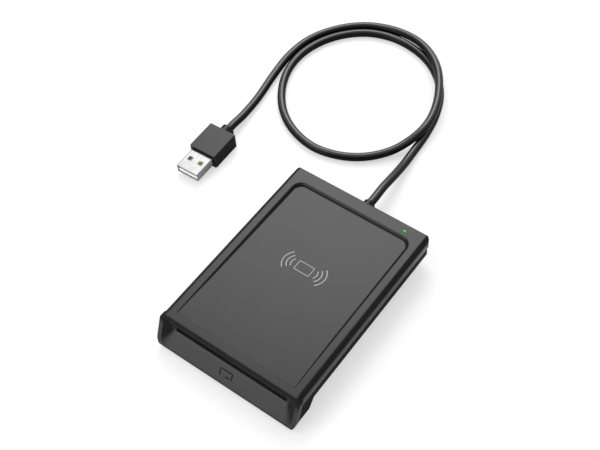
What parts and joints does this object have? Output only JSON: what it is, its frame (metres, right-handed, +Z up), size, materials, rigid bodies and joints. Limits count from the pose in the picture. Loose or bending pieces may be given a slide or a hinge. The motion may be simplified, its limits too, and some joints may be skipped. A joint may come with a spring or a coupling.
{
  "type": "smart card reader",
  "caption": "Desktop smart card reader with a card slot in a raked front, a sunk tap zone on top, a status light and a fixed USB-A lead.",
  "frame": {"origin": "middle of the body's footprint on the table to within 0.5 mm, without the lead and plug", "axes": "+X to the user's right, +Y from the card mouth to the lead, +Z up"},
  "size_m": [0.1264, 0.2079, 0.017],
  "materials": {
    "case": "fine satin texture",
    "case_lower": "fine satin texture",
    "lens": "clear green",
    "board": "solder mask",
    "chip": "moulded epoxy",
    "contact": "gold plated",
    "steel": "bright nickel",
    "unit": "moulded",
    "white": "moulded",
    "cord": "smooth satin",
    "grip": "fine satin",
    "pad": "matt",
    "parts": "ceramic",
    "leads": "insulated wire"
  },
  "bodies": {
    "reader": {"top_cover": "case", "bottom_cover": "case_lower", "card_funnel": "case", "light_pipe": "lens", "main_board": "board", "reader_chip": "chip", "radio_chip": "chip", "crystal": "steel", "board_parts": "parts", "light_chip": "white", "card_frame": "unit", "card_frame_cover": "steel", "card_switch_contact": "contact", "antenna_board": "board", "antenna_coil": "contact", "antenna_link": "unit", "cord_header": "white", "cord_leads": "leads", "strain_relief": "grip", "usb_cord": "cord", "plug_grip": "grip", "plug_shell": "steel", "plug_tongue": "white", "plug_contacts": "contact", "case_screws": "steel", "rubber_feet": "pad"},
    "front_contact_row": {"front_contacts": "contact"},
    "rear_contact_row": {"rear_contacts": "contact"},
    "card_switch": {"card_switch_blade": "contact"}
  },
  "joints": [
    {"name": "front_contacts_press", "type": "hinge", "parent": "reader", "child": "front_contact_row", "pos_m": [0, -0.02185, 0.0092], "axis": [-1, 0, 0], "range_deg": [0, 5.3], "stiffness_Nm_per_rad": 0.02},
    {"name": "rear_contacts_press", "type": "hinge", "parent": "reader", "child": "rear_contact_row", "pos_m": [0, -0.01423, 0.0092], "axis": [-1, 0, 0], "range_deg": [0, 5.3], "stiffness_Nm_per_rad": 0.02},
    {"name": "card_switch_press", "type": "hinge", "parent": "reader", "child": "card_switch", "pos_m": [0, -0.00448, 0.0092], "axis": [-1, 0, 0], "range_deg": [0, 5.3], "stiffness_Nm_per_rad": 0.02}
  ]
}
